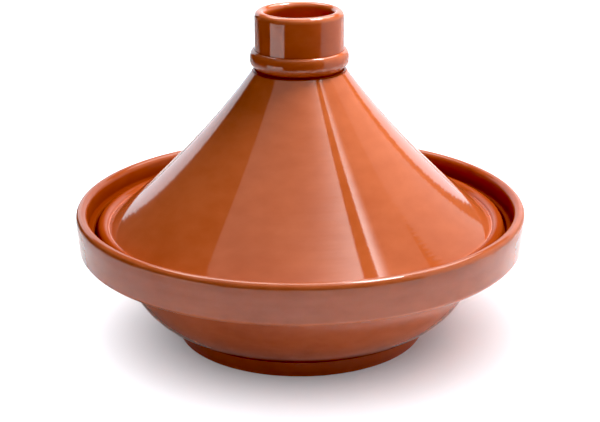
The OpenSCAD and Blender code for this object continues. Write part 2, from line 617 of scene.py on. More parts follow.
class Finish(Enum):
    """The pot's glazes."""

    DISH = Glaze("dish_glaze", body=(0.47, 0.094, 0.025), light=(0.58, 0.156, 0.056),
                 deep_and_shade=(0.15, 0.018, 0.003))
    FOOT = Glaze("foot_glaze", body=(0.50, 0.075, 0.014), light=(0.62, 0.13, 0.030),
                 deep_and_shade=(0.30, 0.035, 0.007), roughness=0.1)
    LID = Glaze("lid_glaze", body=(0.485, 0.104, 0.027), light=(0.63, 0.172, 0.063),
                deep_and_shade=(0.27, 0.040, 0.008))
    KNOB = Glaze("knob_glaze", body=(0.46, 0.084, 0.021), light=(0.56, 0.146, 0.048),
                 deep_and_shade=(0.22, 0.028, 0.006))
    COLLAR = Glaze("collar_glaze", body=(0.46, 0.084, 0.021), light=(0.56, 0.146, 0.048),
                   deep_and_shade=(0.20, 0.025, 0.005))


# ---------------------------------------------------------------- relief


@dataclass(frozen=True)
class ThrownRelief:
    """Relief that throwing and turning leave in the clay, always cut inwards.

    Each wave has a whole number of crests in a turn, so that it closes on itself. The other
    numbers in the waves only keep them from repeating up the wall.

    Attributes:
        ring_depth: Depth of the finger rings.
        ring_pitch: Climb of the spiral that the rings follow, along the wall.
        wobble_depth: Depth of the slow unevenness round the piece.
        wobble_lobes: How many times the unevenness repeats in a turn.
        ripple_depth: Depth of the short irregular ripples.
        rib_depth: Depth of the fine lines that the rib leaves, at their deepest.
        rib_pitch: Distance between the fine lines, along the wall.
        rib_side: Direction in which the fine lines are deepest, in radians.
        rib_rest: Share of their depth that the fine lines keep all round.
        rib_focus: How sharply the fine lines deepen towards that direction.
    """

    ring_depth: float = 0.008
    ring_pitch: float = 9.0
    wobble_depth: float = 0.08
    wobble_lobes: int = 3
    ripple_depth: float = 0.004
    rib_depth: float = 0.016
    rib_pitch: float = 3.4
    rib_side: float = -1.15
    rib_rest: float = 0.25
    rib_focus: int = 8

    def depth(self, along: np.ndarray, turn: np.ndarray) -> np.ndarray:
        """Depth of the relief at places on the wall.

        Args:
            along: Distances along the profile.
            turn: Angles round the axis, in radians.

        Returns:
            Depths in millimetres, never negative.
        """
        ripple = np.sin(11 * turn + 0.9 * along) * np.sin(7 * turn - 0.35 * along)
        return (self._rings(along, turn) + self._wobble(along, turn) + self._ribs(along, turn)
                + self.ripple_depth * (0.5 + 0.5 * ripple))

    def _rings(self, along: np.ndarray, turn: np.ndarray) -> np.ndarray:
        """Depth of the finger rings, a spiral that fades in and out.

        Args:
            along: Distances along the profile.
            turn: Angles round the axis, in radians.

        Returns:
            Depths in millimetres.
        """
        spiral = FULL_TURN * along / self.ring_pitch + turn
        fade = 0.6 + 0.4 * np.sin(along / 31.0 + 2.0 * turn)
        return self.ring_depth * fade * (0.5 + 0.5 * np.sin(spiral + 0.6 * np.sin(2 * turn)))

    def _wobble(self, along: np.ndarray, turn: np.ndarray) -> np.ndarray:
        """Depth of the slow unevenness: broad lobes that twist up the wall."""
        lobes = np.sin(self.wobble_lobes * turn + along / 60.0) + 0.5 * np.sin(2 * turn + 1.1)
        return self.wobble_depth * (0.5 + lobes / 3)

    def _ribs(self, along: np.ndarray, turn: np.ndarray) -> np.ndarray:
        """Depth of the rib's fine lines, two uneven sets of them.

        Args:
            along: Distances along the profile.
            turn: Angles round the axis, in radians.

        Returns:
            Depths in millimetres.
        """
        facing = (0.5 + 0.5 * np.cos(turn - self.rib_side)) ** self.rib_focus
        deepest = self.rib_depth * (self.rib_rest + (1 - self.rib_rest) * facing)
        phase = FULL_TURN * along / self.rib_pitch + 0.8 * np.sin(3 * turn)
        second = np.sin(1.37 * phase + 2.0 * np.sin(5 * turn))
        return deepest * (0.5 + 0.3 * np.sin(phase) + 0.2 * second)


@dataclass(frozen=True)
class GlazeRun:
    """How a profile's own turns make the glaze run thin or pool.

    Attributes:
        reach: How many points to each side the turn is measured over.
        thin_from: Outward turn at which the glaze starts to thin, in degrees a millimetre.
        pool_from: Inward turn at which the glaze starts to pool, in degrees a millimetre.
        full_over: Further turn that takes either to its full.
    """

    reach: int = 3
    thin_from: float = 3.0
    pool_from: float = 8.0
    full_over: float = 12.0

    def at(self, outline: list[Point], index: int) -> Span:
        """Glaze at one point of an outline.

        Args:
            outline: The profile's points.
            index: Which of them.

        Returns:
            Two shares from 0 to 1: how thin the glaze is, and how deep it pools.
        """
        point = outline[index]
        before = outline[max(0, index - self.reach)]
        after = outline[min(len(outline) - 1, index + self.reach)]
        if point in (before, after):
            return 0.0, 0.0
        turn = (bearing(point, after) - bearing(before, point) + 180) % 360 - 180
        rate = turn / (math.dist(before, point) + math.dist(point, after)) * 2
        thin = min(1.0, max(0.0, (rate - self.thin_from) / self.full_over))
        return thin, min(1.0, max(0.0, (-rate - self.pool_from) / self.full_over))


# ---------------------------------------------------------------- turned pieces


@dataclass
class TurnedPiece:
    """A piece turned about Z. Its own sizes are millimetres.

    Attributes:
        name: Name of the finished object.
        node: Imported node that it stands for.
        body: Body that it rides on.
        finish: Its glaze.
        turns: Steps round the full turn.
        relief: Relief cut into the wall.
        run: How the glaze runs over its edges and hollows.
        axis_r: Radius round the axis that stays free of relief.
        axis_fade: Distance outside that over which the relief grows.
    """

    name: str
    node: str
    body: Body
    finish: Finish
    turns: int = 256
    relief: ThrownRelief = ThrownRelief()
    run: GlazeRun = GlazeRun()
    axis_r: float = 2.0
    axis_fade: float = 10.0

    def packed(self) -> tuple[float, float, float]:
        """Radius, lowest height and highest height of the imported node, in millimetres."""
        low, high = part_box(self.node)
        return max(high[0], -low[0]) / MM, low[2] / MM, high[2] / MM

    def profile(self) -> Profile:
        """Outline of the piece's section."""
        raise NotImplementedError

    def calm(self, radius: np.ndarray, height: np.ndarray) -> np.ndarray:
        """Share of the relief that stays at each place, from 0 on seats to 1."""
        return np.ones_like(radius)

    def pooled_and_shaded(self, radius: np.ndarray, height: np.ndarray) -> np.ndarray:
        """Share of painted shade at each place, from 0 to 1, added to the glaze that gathers in
        hollows.
        """
        return np.zeros_like(radius)

    def build(self) -> bpy.types.Object:
        """Makes the piece as an object that rides on its body.

        Returns:
            The new object, smooth shaded, with its traces.
        """
        mesh = self._turned()
        self._cut_relief(mesh)
        piece = new_object(self.name, mesh)
        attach(piece, self.body.value)
        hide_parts(self.node)
        return piece

    def dress(self, piece: bpy.types.Object, effects: Effects) -> None:
        """Gives the finished object its glaze."""
        piece.data.materials.append(self.finish.value.material(effects))

    def _turned(self) -> bpy.types.Mesh:
        """Spins the profile round the axis.

        Returns:
            A closed mesh that carries its traces. An outline that starts off the axis is a
            ring, and is closed on itself first.
        """
        outline = self.profile().points
        bm = bmesh.new()
        layers = [bm.verts.layers.float.new(trace.value) for trace in Trace]
        verts, travelled = [], 0.0
        for i, (radius, height) in enumerate(outline):
            if i:
                travelled += math.dist(outline[i - 1], outline[i])
            vert = bm.verts.new((radius * MM, 0, height * MM))
            for layer, value in zip(layers, (travelled, *self.run.at(outline, i))):
                vert[layer] = value
            verts.append(vert)
        is_ring = outline[0][0] > Profile.same
        pairs = list(zip(verts, verts[1:])) + ([(verts[-1], verts[0])] if is_ring else [])
        edges = [bm.edges.new(pair) for pair in pairs]
        bmesh.ops.spin(bm, geom=verts + edges, cent=(0, 0, 0), axis=(0, 0, 1), dvec=(0, 0, 0),
                       angle=FULL_TURN, steps=self.turns, use_merge=True, use_duplicate=False)
        bmesh.ops.remove_doubles(bm, verts=bm.verts, dist=Profile.same * MM)
        bmesh.ops.recalc_face_normals(bm, faces=bm.faces)
        for face in bm.faces:
            face.smooth = True
        mesh = bpy.data.meshes.new(self.name)
        bm.to_mesh(mesh)
        bm.free()
        return mesh

    def _cut_relief(self, mesh: bpy.types.Mesh) -> None:
        """Moves each vertex inwards by the relief's depth and adds the painted shade to where the
        glaze pools.

        Args:
            mesh: The turned mesh.
        """
        count = len(mesh.vertices)
        place, normal = np.empty(count * 3), np.empty(count * 3)
        along, pool_and_shade = np.empty(count), np.empty(count)
        mesh.vertices.foreach_get("co", place)
        mesh.vertices.foreach_get("normal", normal)
        mesh.attributes[Trace.ALONG.value].data.foreach_get("value", along)
        mesh.attributes[Trace.POOL_AND_SHADE.value].data.foreach_get("value", pool_and_shade)
        place, normal = place.reshape(-1, 3), normal.reshape(-1, 3)
        radius = np.hypot(place[:, 0], place[:, 1]) / MM
        turn = np.arctan2(place[:, 1], place[:, 0])
        off_axis = np.clip((radius - self.axis_r) / self.axis_fade, 0.0, 1.0)
        share = np.clip(self.calm(radius, place[:, 2] / MM), 0.0, 1.0) * off_axis
        place -= normal * (share * self.relief.depth(along, turn) * MM)[:, None]
        # adds each piece's painted shade to the trace of where the glaze pools
        pool_and_shade = np.maximum(pool_and_shade, self.pooled_and_shaded(radius, place[:, 2] / MM))
        mesh.attributes[Trace.POOL_AND_SHADE.value].data.foreach_set("value", pool_and_shade)
        mesh.vertices.foreach_set("co", place.ravel())
        mesh.update()


@dataclass
class Dish(TurnedPiece):
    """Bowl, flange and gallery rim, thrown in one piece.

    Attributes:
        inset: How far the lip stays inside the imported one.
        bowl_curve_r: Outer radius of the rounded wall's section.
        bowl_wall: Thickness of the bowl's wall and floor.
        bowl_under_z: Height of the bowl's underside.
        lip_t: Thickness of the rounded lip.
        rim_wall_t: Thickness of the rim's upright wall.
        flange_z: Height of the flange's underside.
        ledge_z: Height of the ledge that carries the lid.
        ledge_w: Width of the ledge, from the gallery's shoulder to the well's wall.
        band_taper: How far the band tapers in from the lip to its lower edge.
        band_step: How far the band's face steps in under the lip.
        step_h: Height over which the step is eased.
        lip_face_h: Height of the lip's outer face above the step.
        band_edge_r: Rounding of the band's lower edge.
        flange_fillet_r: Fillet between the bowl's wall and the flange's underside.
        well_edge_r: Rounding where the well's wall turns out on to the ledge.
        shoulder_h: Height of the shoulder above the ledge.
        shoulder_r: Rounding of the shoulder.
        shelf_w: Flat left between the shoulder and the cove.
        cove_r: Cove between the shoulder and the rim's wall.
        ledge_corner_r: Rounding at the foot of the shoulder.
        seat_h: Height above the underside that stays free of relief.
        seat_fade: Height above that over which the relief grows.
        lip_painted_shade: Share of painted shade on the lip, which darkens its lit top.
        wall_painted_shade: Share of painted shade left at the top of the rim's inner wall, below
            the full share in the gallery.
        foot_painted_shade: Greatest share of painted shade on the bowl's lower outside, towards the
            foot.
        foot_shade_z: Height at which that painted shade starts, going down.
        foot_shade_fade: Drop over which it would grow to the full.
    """

    inset: float = 0.01
    bowl_curve_r: float = 55.4
    bowl_wall: float = 8.0
    bowl_under_z: float = 8.6
    lip_t: float = 8.0
    rim_wall_t: float = 8.6
    flange_z: float = 67.3
    ledge_z: float = 78.0
    ledge_w: float = 27.4
    band_taper: float = 1.2
    band_step: float = 0.45
    step_h: float = 7.0
    lip_face_h: float = 4.0
    band_edge_r: float = 3.6
    flange_fillet_r: float = 8.0
    well_edge_r: float = 8.0
    shoulder_h: float = 5.0
    shoulder_r: float = 2.2
    shelf_w: float = 0.1
    cove_r: float = 1.8
    ledge_corner_r: float = 1.0
    seat_h: float = 2.0
    seat_fade: float = 12.0
    lip_painted_shade: float = 0.25
    wall_painted_shade: float = 0.45
    foot_painted_shade: float = 0.9
    foot_shade_z: float = 23.5
    foot_shade_fade: float = 5.0

    def __post_init__(self) -> None:
        """Takes the rim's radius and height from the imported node, and the rest from them."""
        packed_r, _, self.dish_h = self.packed()
        self.lip_r = packed_r - self.inset
        self.wall_r = self.lip_r - self.rim_wall_t
        self.gallery_r = self.wall_r - self.cove_r - self.shelf_w - self.shoulder_r
        self.well_r = self.gallery_r - self.ledge_w
        self.well_curve_r = self.bowl_curve_r - self.bowl_wall
        self.bowl_c = (self.well_r - self.well_curve_r, self.bowl_under_z + self.bowl_curve_r)
        self.shoulder_z = self.ledge_z + self.shoulder_h

    def profile(self) -> Profile:
        """Outline from under the bowl, up the outside, over the lip and down into the well.

        Returns:
            The outline.
        """
        out = Profile()
        self._bowl_outside(out)
        self._rim(out)
        self._gallery(out)
        out.arc((self.well_r + self.well_edge_r, self.ledge_z - self.well_edge_r),
                self.well_edge_r, 90, 180, step=1.2)
        out.arc(self.bowl_c, self.well_curve_r, 0, -90, step=2.0)
        out.line((0, self.bowl_c[1] - self.well_curve_r), step=6)
        return out

    def _bowl_outside(self, out: Profile) -> None:
        """Draws the underside, the rounded wall and the fillet under the flange.

        Args:
            out: Outline to draw on.
        """
        fillet_z = self.flange_z - self.flange_fillet_r
        reach = self.bowl_curve_r + self.flange_fillet_r
        away = math.sqrt(reach ** 2 - (fillet_z - self.bowl_c[1]) ** 2)
        fillet_c = (self.bowl_c[0] + away, fillet_z)
        wall_end = bearing(self.bowl_c, fillet_c)
        out.line((0, self.bowl_under_z))
        out.line((self.bowl_c[0], self.bowl_under_z), step=6)
        out.arc(self.bowl_c, self.bowl_curve_r, -90, wall_end, step=1.4)
        out.arc(fillet_c, self.flange_fillet_r, wall_end + 180, 90, step=1.2)

    def _rim(self, out: Profile) -> None:
        """Draws the rounded lower edge, the band, the eased step and the lip.

        Args:
            out: Outline to draw on.
        """
        lip_c = (self.lip_r - self.lip_t / 2, self.dish_h - self.lip_t / 2)
        edge_c = (self.lip_r - self.band_taper - self.band_edge_r, self.flange_z + self.band_edge_r)
        step_z = lip_c[1] - self.lip_face_h
        out.arc(edge_c, self.band_edge_r, -90, 0, step=0.45)
        out.line((self.lip_r - self.band_step, step_z - self.step_h), step=1.2)
        out.swerve((self.lip_r, step_z))
        out.arc(lip_c, self.lip_t / 2, 0, 180, step=0.45)

    def _gallery(self, out: Profile) -> None:
        """Draws the rim's inner wall, the cove, the shoulder and the ledge's corner.

        Args:
            out: Outline to draw on.
        """
        cove_c = (self.wall_r - self.cove_r, self.shoulder_z + self.cove_r)
        shoulder_c = (self.gallery_r + self.shoulder_r, self.shoulder_z - self.shoulder_r)
        corner_c = (self.gallery_r - self.ledge_corner_r, self.ledge_z + self.ledge_corner_r)
        out.arc(cove_c, self.cove_r, 0, -90, step=0.45)
        out.arc(shoulder_c, self.shoulder_r, 90, 180, step=0.45)
        out.arc(corner_c, self.ledge_corner_r, 0, -90, step=0.4)

    def calm(self, radius: np.ndarray, height: np.ndarray) -> np.ndarray:
        """Keeps the ledge and the foot's seat true.

        Args:
            radius: Distances from the axis.
            height: Heights.

        Returns:
            Share of the relief that stays at each place.
        """
        over_ledge = (radius > self.well_r) & (radius < self.gallery_r + self.ledge_corner_r)
        on_ledge = over_ledge & (np.abs(height - self.ledge_z) < 1.5 * self.ledge_corner_r)
        above_seat = (height - self.bowl_under_z - self.seat_h) / self.seat_fade
        return np.where(on_ledge, 0.0, np.clip(above_seat, 0.0, 1.0))

    def pooled_and_shaded(self, radius: np.ndarray, height: np.ndarray) -> np.ndarray:
        """Painted shade in the gallery, fading up the rim's inner wall, on the lip and on the bowl
        towards the foot. It also dulls the gloss there.

        Args:
            radius: Distances from the axis.
            height: Heights.

        Returns:
            Share of deep glaze at each place.
        """
        inside_rim = (radius > self.well_r) & (radius < self.lip_r - self.lip_t / 2)
        # painted shade: full in the gallery, where the rim's shadow falls, fading up the rim's
        # inner wall
        in_gallery = inside_rim & (height > self.ledge_z - self.ledge_corner_r)
        rise = np.clip((height - self.shoulder_z) / (self.dish_h - self.shoulder_z), 0.0, 1.0)
        # painted shade on the lip, darkening the top that the key light catches
        lip = np.clip((height - self.dish_h + self.lip_t) / self.lip_t, 0.0, 1.0) * self.lip_painted_shade
        # painted shade down the bowl's outside towards the foot, which also dulls its gloss there
        from_centre = np.hypot(radius - self.bowl_c[0], height - self.bowl_c[1])
        is_outside = from_centre > self.bowl_curve_r - self.bowl_wall / 2
        low = np.clip((self.foot_shade_z - height) / self.foot_shade_fade, 0.0, self.foot_painted_shade)
        return np.where(in_gallery, 1.0 - (1.0 - self.wall_painted_shade) * rise, lip + low * is_outside)


@dataclass
class FootRing(TurnedPiece):
    """Foot ring luted under the bowl; its top follows the bowl's curve.

    Attributes:
        foot_w: Width of the ring where it stands.
        foot_lean: How far the ring's faces lean in towards the bowl.
        foot_edge_r: Rounding of the ring's lower edges.
        corner_gap: Distance of the close points that keep the outer top corner crisp, in
            millimetres down the face and in degrees along the bowl's curve.
        seat_from: Angle from that corner at which the wider spacing starts.
        face_h: Height of the standing face, which stays free of relief.
        face_share: Share of the relief that stays on the rest.
        dish: Dish that it carries.
    """

    foot_w: float = 11.0
    foot_lean: float = 1.0
    foot_edge_r: float = 1.2
    corner_gap: float = 0.06
    seat_from: float = 0.2
    face_h: float = 1.3
    face_share: float = 0.6
    dish: Dish = field(kw_only=True)

    def profile(self) -> Profile:
        """Outline from the inner lower edge, out, up and back along the bowl's underside.

        Returns:
            The outline, a ring.
        """
        foot_r, _, _ = self.packed()
        in_r = foot_r - self.foot_w
        centre, curve_r = self.dish.bowl_c, self.dish.bowl_curve_r
        outer = -math.degrees(math.acos((foot_r - self.foot_lean - centre[0]) / curve_r))
        inner = -math.degrees(math.acos((in_r + self.foot_lean - centre[0]) / curve_r))
        corner = polar(centre, curve_r, outer)
        out = Profile()
        out.arc((in_r + self.foot_edge_r, self.foot_edge_r), self.foot_edge_r, 180, 270, step=0.3)
        out.arc((foot_r - self.foot_edge_r, self.foot_edge_r), self.foot_edge_r, -90, 0, step=0.3)
        up_face = 1 - self.corner_gap / math.dist(corner, out.points[-1])
        out.line(between(out.points[-1], corner, up_face), step=0.6)
        out.line(corner)
        out.line(polar(centre, curve_r, outer - self.corner_gap))
        out.arc(centre, curve_r, outer - self.seat_from, inner, step=1.5)
        return out

    def calm(self, radius: np.ndarray, height: np.ndarray) -> np.ndarray:
        """Keeps the standing face flat."""
        return np.where(height < self.face_h, 0.0, self.face_share)


@dataclass
class LidCone(TurnedPiece):
    """Swept cone with its crown and its rolled rim, hollow inside.

    Attributes:
        roll_d: Thickness of the rolled rim.
        crease: Where the cone meets the roll, as an angle on it in degrees.
        wall: Thickness of the cone's wall.
        crown_r: Radius of the crown.
        crown_t: Thickness of the crown.
        crown_edge_r: Rounding of the crown's edge.
        top_lean: Lean of the cone's face just under the crown, in degrees.
        crown_cove_r: Rounding inside the lid, under the crown.
        seat_fade: Height above the seat over which the relief grows.
        crown_true: Height under the crown's top that stays free of relief.
        crown_fade: Drop under the crown over which the relief grows.
        painted_shade_w: Width of the roll's outside over which shade is painted, in roll widths.
        unshaded_seat_h: Height above the seat that stays free of the painted shade.
    """

    roll_d: float = 8.4
    crease: float = 165.0
    wall: float = 7.5
    crown_r: float = 33.2
    crown_t: float = 9.5
    crown_edge_r: float = 1.2
    top_lean: float = 36.0
    crown_cove_r: float = 12.0
    seat_fade: float = 10.0
    crown_true: float = 1.0
    crown_fade: float = 12.0
    painted_shade_w: float = 0.6
    unshaded_seat_h: float = 0.5

    def __post_init__(self) -> None:
        """Takes the rim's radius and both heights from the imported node, and fits the sweep."""
        lid_r, self.seat_z, self.crown_z = self.packed()
        self.roll_c = (lid_r - self.roll_d / 2, self.seat_z + self.roll_d / 2)
        self.crown_c = (self.crown_r - self.crown_edge_r, self.crown_z - self.crown_edge_r)
        top = polar(self.crown_c, self.crown_edge_r, self.top_lean)
        foot = polar(self.roll_c, self.roll_d / 2, self.crease)
        chord = (foot[0] - top[0], foot[1] - top[1])
        self.half_sweep = math.degrees(math.atan2(chord[0], -chord[1])) - self.top_lean
        self.sweep_r = math.hypot(*chord) / 2 / math.sin(math.radians(self.half_sweep))
        self.sweep_c = polar(top, self.sweep_r, self.top_lean)

    def profile(self) -> Profile:
        """Outline from the crown, down the face, round the roll and up inside.

        Returns:
            The outline.
        """
        out = Profile()
        start = self.top_lean + 180
        hollow_r = self.sweep_r + self.wall
        low = near_side(self.sweep_c, hollow_r, self.seat_z)
        cove_z = self.crown_z - self.crown_t - self.crown_cove_r
        cove_c = near_side(self.sweep_c, hollow_r + self.crown_cove_r, cove_z)
        to_low, to_cove = bearing(self.sweep_c, low) % 360, bearing(self.sweep_c, cove_c) % 360
        out.line((0, self.crown_z))
        out.line((self.crown_c[0], self.crown_z), step=4)
        out.arc(self.crown_c, self.crown_edge_r, 90, self.top_lean, step=0.25)
        out.arc(self.sweep_c, self.sweep_r, start, start + 2 * self.half_sweep, step=0.75)
        out.arc(self.roll_c, self.roll_d / 2, self.crease, -90, step=0.45)
        out.line(low, step=1.5)
        out.arc(self.sweep_c, hollow_r, to_low, to_cove, step=2.6)
        out.arc(cove_c, self.crown_cove_r, to_cove - 180, 90, step=2.0)
        out.line((0, self.crown_z - self.crown_t), step=5)
        return out

    def calm(self, radius: np.ndarray, height: np.ndarray) -> np.ndarray:
        """Keeps the seat and the crown true.

        Args:
            radius: Distances from the axis.
            height: Heights.

        Returns:
            Share of the relief that stays at each place.
        """
        share = np.minimum((height - self.seat_z) / self.seat_fade,
                           (self.crown_z - height) / self.crown_fade)
        on_crown = (height > self.crown_z - self.crown_true) & (radius < self.crown_r)
        return np.where(on_crown, 0.0, np.minimum(1.0, share))

    def pooled_and_shaded(self, radius: np.ndarray, height: np.ndarray) -> np.ndarray:
        """Painted shade down the outside of the roll, in the gap under the dish's rim; it dulls the
        gloss there too.
        """
        # painted shade on the roll's outside, where the gap under the rim is in shade
        out = np.clip((radius - self.roll_c[0]) / (self.painted_shade_w * self.roll_d) + 1.0, 0.0, 1.0)
        return np.where(height > self.seat_z + self.unshaded_seat_h, out, 0.0)


@dataclass
class KnobCup(TurnedPiece):
    """Open cup on a low plinth, luted on the crown.

    Attributes:
        base_r: Outer radius of the cup under its collar.
        rim_r: Outer radius of the cup's rim.
        rim_t: Thickness of the rounded rim.
        rim_h: Depth of the rim's inner swelling.
        wall: Thickness of the cup's wall under the rim.
        floor_t: Thickness of the cup's floor.
        floor_cove_r: Cove between the floor and the wall.
        plinth_h: Height of the plinth.
        collar_h: Height that the collar covers above the plinth.
        neck_in: Depth of the neck round the plinth.
        neck_curve_r: Rounding of the neck's foot.
        neck_lift: Height above the crown at which the neck's foot starts.
        neck_run: Further height over which it reaches its depth.
        calm_fade: Height above the collar over which the relief grows.
    """

    base_r: float = 31.3
    rim_r: float = 31.1
    rim_t: float = 7.6
    rim_h: float = 8.0
    wall: float = 6.3
    floor_t: float = 8.0
    floor_cove_r: float = 7.0
    plinth_h: float = 3.6
    collar_h: float = 10.9
    neck_in: float = 1.0
    neck_curve_r: float = 0.9
    neck_lift: float = 0.1
    neck_run: float = 0.2
    calm_fade: float = 6.0

    def __post_init__(self) -> None:
        """Takes the plinth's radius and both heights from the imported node."""
        self.plinth_r, self.crown_z, self.top_z = self.packed()
        self.plinth_z = self.crown_z + self.plinth_h

    def profile(self) -> Profile:
        """Outline from under the plinth, up the wall, over the rim and down to the floor.

        Returns:
            The outline.
        """
        in_r = self.base_r - self.wall
        floor_z = self.crown_z + self.floor_t
        rim_c = (self.rim_r - self.rim_t / 2, self.top_z - self.rim_t / 2)
        cove_c = (in_r - self.floor_cove_r, floor_z + self.floor_cove_r)
        out = Profile()
        out.line((0, self.crown_z))
        out.line((self.plinth_r, self.crown_z), step=4)
        self._neck(out)
        out.line((self.base_r, self.plinth_z))
        out.line((self.base_r, self.plinth_z + self.collar_h))
        out.arc(rim_c, self.rim_t / 2, 0, 180, step=0.4)
        out.swerve((in_r, rim_c[1] - self.rim_h))
        out.arc(cove_c, self.floor_cove_r, 0, -90)
        out.line((0, floor_z), step=2)
        return out

    def _neck(self, out: Profile) -> None:
        """Draws the shallow neck round the plinth.

        Args:
            out: Outline to draw on.
        """
        foot_z = self.crown_z + self.neck_curve_r + self.neck_lift
        out.arc((self.plinth_r, foot_z), self.neck_curve_r, 270, 180, step=0.25)
        out.line((self.plinth_r - self.neck_in, foot_z + self.neck_run), step=0.3)
        out.line((self.plinth_r, self.plinth_z), step=0.4)

    def calm(self, radius: np.ndarray, height: np.ndarray) -> np.ndarray:
        """Keeps the joints under the collar true."""
        return (height - self.plinth_z - self.collar_h) / self.calm_fade


@dataclass
class KnobCollar(TurnedPiece):
    """Fat coil pressed round the joint between the cup and its plinth.

    Attributes:
        base_r: Radius of the cup that it is pressed on.
        low_h: Height of its widest line above the plinth.
        fullness: Fullness of its section, where 2 is an ellipse.
        base_share: Share of the section's lower half that is left above its cut base.
        chords: Number of chords round the section.
        joint_w: Distance from the cup that stays free of relief.
        joint_fade: Distance outside that over which the relief grows.
    """

    base_r: float = 31.3
    low_h: float = 4.0
    fullness: float = 2.5
    base_share: float = 0.88
    chords: int = 48
    joint_w: float = 0.7
    joint_fade: float = 1.5

    def profile(self) -> Profile:
        """Outline from the plinth's top, out round the coil and back to the cup.

        Returns:
            The outline, a ring.
        """
        out_r, low_z, high_z = self.packed()
        wide_z = low_z + self.low_h
        out = Profile()
        out.line((self.base_r, low_z))
        for i in range(self.chords + 1):
            lift = math.sin(math.radians(-90 + 180 * i / self.chords))
            below = lift < 0
            share = abs(lift) * (self.base_share if below else 1.0)
            swell = (1 - share ** self.fullness) ** (1 / self.fullness)
            height = wide_z + lift * (self.low_h if below else high_z - wide_z)
            out.line((self.base_r + (out_r - self.base_r) * swell, height), step=0.6)
        return out

    def calm(self, radius: np.ndarray, height: np.ndarray) -> np.ndarray:
        """Keeps the face against the cup true."""
        return (radius - self.base_r - self.joint_w) / self.joint_fade


# ---------------------------------------------------------------- sub-assemblies


@dataclass
class FootedDish:
    """The base of the pot: the dish on its foot ring.

    Attributes:
        body: Body that both pieces ride on.
    """

    body: Body = Body.BASE

    def pieces(self) -> tuple[TurnedPiece, ...]:
        """The dish and its foot ring."""
        dish = Dish("dish_body", "dish", self.body, Finish.DISH)
        return dish, FootRing("foot", "foot_ring", self.body, Finish.FOOT, dish=dish)


@dataclass
class KnobbedLid:
    """The loose lid: the hollow cone with its open knob and the coil round the knob's foot.

    Attributes:
        body: Body that the three pieces ride on.
    """

    body: Body = Body.LID

    def pieces(self) -> tuple[TurnedPiece, ...]:
        """The cone, the cup and the collar."""
        return (LidCone("lid_body", "lid_cone", self.body, Finish.LID),
                KnobCup("knob", "knob_cup", self.body, Finish.KNOB),
                KnobCollar("collar", "knob_collar", self.body, Finish.COLLAR))


# ---------------------------------------------------------------- studio


def flat_card(name: str, corners: tuple[Place, ...],
              material: bpy.types.Material) -> bpy.types.Object:
    """Makes a flat card.

    Args:
        name: Object's name.
        corners: Corners in order round the card.
        material: Its material.

    Returns:
        The card.
    """
    bm = bmesh.new()
    bm.faces.new([bm.verts.new(corner) for corner in corners])
    mesh = bpy.data.meshes.new(name)
    bm.to_mesh(mesh)
    bm.free()
    mesh.materials.append(material)
    card = new_object(name, mesh)
    return card


@dataclass(frozen=True)
class HotSpot:
    """A brighter round spot on a panel.

    Attributes:
        glow: Extra radiance at its middle.
        at: Place of its middle.
        reach: Its radius across the panel.
        squeeze: How many times smaller it is from front to back.
    """

    glow: float
    at: Place
    reach: float
    squeeze: float = 1.0

    def over(self, nodes: Nodes, glow: float) -> bpy.types.NodeSocket:
        """Radiance over a panel with the spot on it.

        Args:
            nodes: Tree of the panel's material.
            glow: The panel's own radiance.

        Returns:
            The radiance's socket.
        """
        away = nodes.add("ShaderNodeVectorMath", operation="DISTANCE")
        x, y, z = self.at
        nodes.feed(away.inputs[0], nodes.stretched(nodes.place(), (1, self.squeeze, 1)))
        nodes.feed(away.inputs[1], (x, y * self.squeeze, z))
        near = nodes.ramp(away.outputs["Value"], self.reach, 0.0)
        swell = nodes.calc("MULTIPLY", nodes.calc("POWER", near, 2.0), self.glow)
        return nodes.calc("ADD", swell, glow)


@dataclass(frozen=True)
class Panel:
    """A flat light of four corners, seen only in what it lights and in reflections.

    Attributes:
        name: Object's name.
        corners: Corners in order round the panel.
        glow: Radiance of the panel.
        tint: Colour of its light.
        hot: Brighter spot on it.
        mirrored_only: Whether the panel shows in the glaze without lighting the clay below it.
    """

    name: str
    corners: tuple[Place, ...]
    glow: float
    tint: Colour = WHITE
    hot: HotSpot | None = None
    mirrored_only: bool = False

    def build(self, spared: bpy.types.Collection) -> bpy.types.Object:
        """Makes the panel.

        Args:
            spared: Collection of the objects that the panel leaves unlit.

        Returns:
            The panel.
        """
        material, nodes = new_material(self.name)
        emission = nodes.add("ShaderNodeEmission")
        strength = self.hot.over(nodes, self.glow) if self.hot else self.glow
        nodes.feed_all(emission, {"Color": self.tint, "Strength": strength})
        nodes.show(emission)
        panel = flat_card(self.name, self.corners, material)
        panel.visible_camera = panel.visible_shadow = False
        panel.visible_diffuse = not self.mirrored_only
        panel.light_linking.receiver_collection = spared
        return panel


class LampKind(Enum):
    """Kinds of lamp, by Blender's names."""

    SUN = "SUN"
    AREA = "AREA"


@dataclass(frozen=True)
class Lamp:
    """A soft lamp that isn't mirrored in the glaze.

    Attributes:
        name: Object's name.
        kind: Kind of lamp.
        at: Place of the lamp.
        aim: Point that it looks at.
        power: Power in watts, or irradiance for a sun.
        spread: Diameter of the lamp, or angle in radians for a sun.
        lit: Collection that says what it lights.
    """

    name: str
    kind: LampKind
    at: Place
    aim: Place
    power: float
    spread: float
    lit: bpy.types.Collection

    def build(self) -> bpy.types.Object:
        """Makes the lamp.

        Returns:
            The lamp.
        """
        data = bpy.data.lights.new(self.name, self.kind.value)
        data.energy = self.power
        if self.kind is LampKind.SUN:
            data.angle = self.spread
        else:
            data.shape, data.size = "DISK", self.spread
        lamp = new_object(self.name, data)
        away = Vector(self.at) - Vector(self.aim)
        turn = away.to_track_quat("Z", "Y").to_matrix().to_4x4()
        lamp.matrix_world = Matrix.Translation(self.at) @ turn
        lamp.visible_glossy = False
        lamp.light_linking.receiver_collection = self.lit
        return lamp


